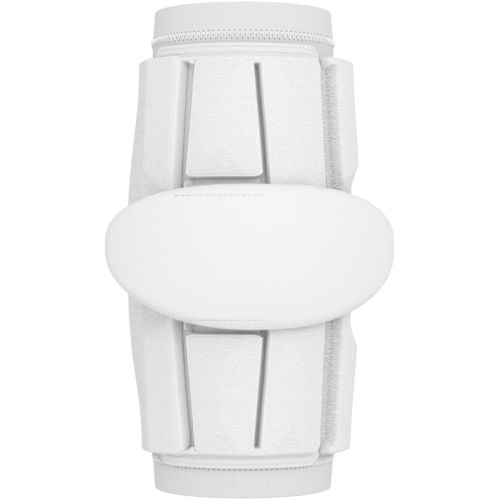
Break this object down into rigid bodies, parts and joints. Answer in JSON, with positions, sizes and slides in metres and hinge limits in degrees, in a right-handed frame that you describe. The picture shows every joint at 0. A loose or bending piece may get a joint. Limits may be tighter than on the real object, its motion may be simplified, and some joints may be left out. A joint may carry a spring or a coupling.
{
  "type": "lacrosse arm pad",
  "caption": "White lacrosse arm pad: knitted sleeve with rib cuffs, moulded foam blocks and wings on a grained sheet, and an oval elbow cap.",
  "frame": {"origin": "on the arm's axis, halfway between the sleeve's two rims", "axes": "+Z along the arm towards the upper arm, -Y out of the front where the elbow cap is, +X to the right seen from the front"},
  "size_m": [0.1762, 0.1271, 0.3],
  "materials": {
    "sleeve_knit": "matt stretch knit",
    "rib_knit": "matt fine rib knit",
    "moulded_sheet": "moulded foam sheet with a grained skin",
    "grained_foam": "moulded foam under a leather-grained skin",
    "cap_skin": "smooth satin skin over moulded foam"
  },
  "bodies": {
    "root": {"sleeve_body": "sleeve_knit", "upper_cuff": "rib_knit", "lower_cuff": "rib_knit", "main_panel_backing": "moulded_sheet", "right_panel_backing": "moulded_sheet", "left_wing_pad": "grained_foam", "upper_centre_left_block": "grained_foam", "upper_centre_right_block": "grained_foam", "upper_right_wing_pad": "grained_foam", "lower_centre_left_block": "grained_foam", "lower_centre_right_block": "grained_foam", "lower_right_wing_pad": "grained_foam", "elbow_cap": "cap_skin"}
  },
  "joints": []
}
